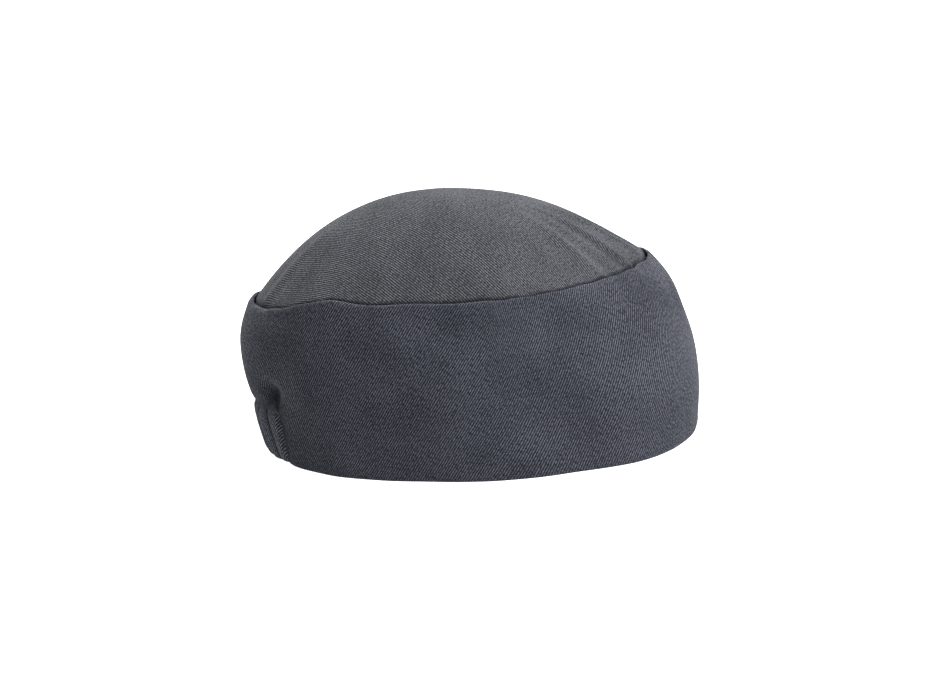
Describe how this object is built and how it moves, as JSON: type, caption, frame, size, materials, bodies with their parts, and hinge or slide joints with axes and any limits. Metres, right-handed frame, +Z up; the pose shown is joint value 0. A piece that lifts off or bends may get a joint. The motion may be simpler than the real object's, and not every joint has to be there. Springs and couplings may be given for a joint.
{
  "type": "chef's skull cap",
  "caption": "Low chef's skull cap: domed crown panel sewn into a stiffened upright band, with a gathered casing and elastic at the back that stretches to the head.",
  "frame": {"origin": "on the surface that the hem rests on, at the middle of the cap's length and width", "axes": "+X to the front of the cap, along its length, +Y to the wearer's left, +Z up"},
  "size_m": [0.2142, 0.1526, 0.1131],
  "materials": {
    "crown_twill": "matt two-tone cotton and polyester twill, dark charcoal with light grey flecks",
    "band_twill": "matt two-tone cotton and polyester twill, dark charcoal, stiffened from behind",
    "interlining": "white non-woven interlining, matt",
    "facing_cotton": "the same charcoal twill, turned inside, matt",
    "binding_tape": "grey woven cotton tape, matt",
    "thread": "dark polyester sewing thread, slight sheen",
    "casing_twill": "matt charcoal twill, gathered",
    "elastic": "white woven elastic, ribbed, slight sheen"
  },
  "bodies": {
    "cap": {"crown_panel": "crown_twill", "side_band": "band_twill", "band_interlining": "interlining", "band_facing": "facing_cotton", "crown_seam_binding": "binding_tape", "hem_topstitch": "thread", "elastic_tack_left": "thread", "elastic_tack_right": "thread"},
    "elastic_back": {"back_casing": "casing_twill", "elastic_strip": "elastic", "casing_upper_stitch": "thread", "casing_lower_stitch": "thread"}
  },
  "joints": [
    {"name": "elastic_stretch", "type": "slide", "parent": "cap", "child": "elastic_back", "axis": [-1, 0, 0], "range_m": [0, 0.015], "stiffness_N_per_m": 300}
  ]
}
